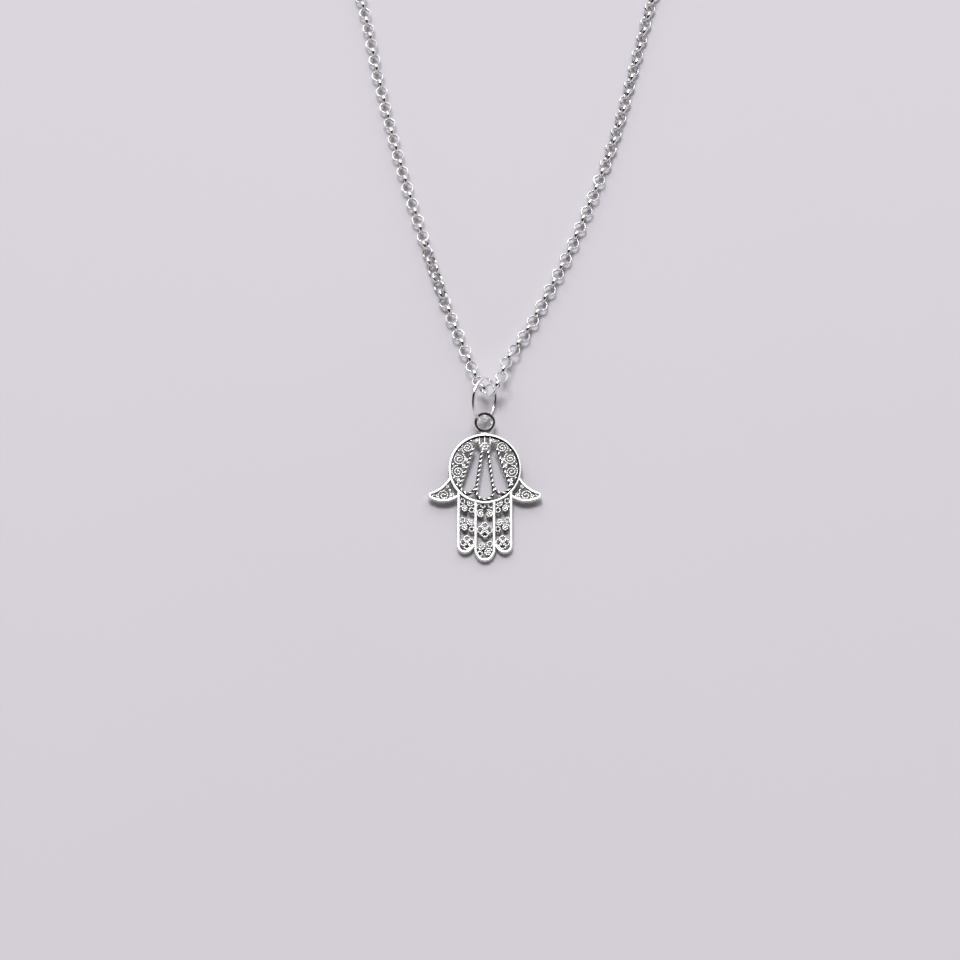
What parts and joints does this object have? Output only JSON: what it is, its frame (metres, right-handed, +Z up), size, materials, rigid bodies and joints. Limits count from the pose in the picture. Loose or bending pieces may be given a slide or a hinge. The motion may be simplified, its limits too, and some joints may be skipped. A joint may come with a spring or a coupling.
{
  "type": "hamsa pendant necklace",
  "caption": "Hand-shaped filigree pendant with an eye, hung by a jump ring on a fine round-link chain with a plain clasp, lying flat as a whole loop.",
  "frame": {"origin": "on the surface that the necklace lies on, under the middle of the whole necklace's box", "axes": "+Z up off the surface; +Y from the fingertips to the clasp; +X to the right of the pendant seen from its front"},
  "size_m": [0.1, 0.2235, 0.0064],
  "materials": {
    "filigree_silver": "polished silver strip frame with twisted and rolled filigree wire, a little darker in the recesses",
    "ring_silver": "polished round silver wire",
    "chain_silver": "polished links of flat silver wire with rounded edges",
    "clasp_silver": "polished silver, plain"
  },
  "bodies": {
    "root": {"hamsa_pendant": "filigree_silver", "jump_ring": "ring_silver", "chain": "chain_silver", "clasp": "clasp_silver"}
  },
  "joints": []
}
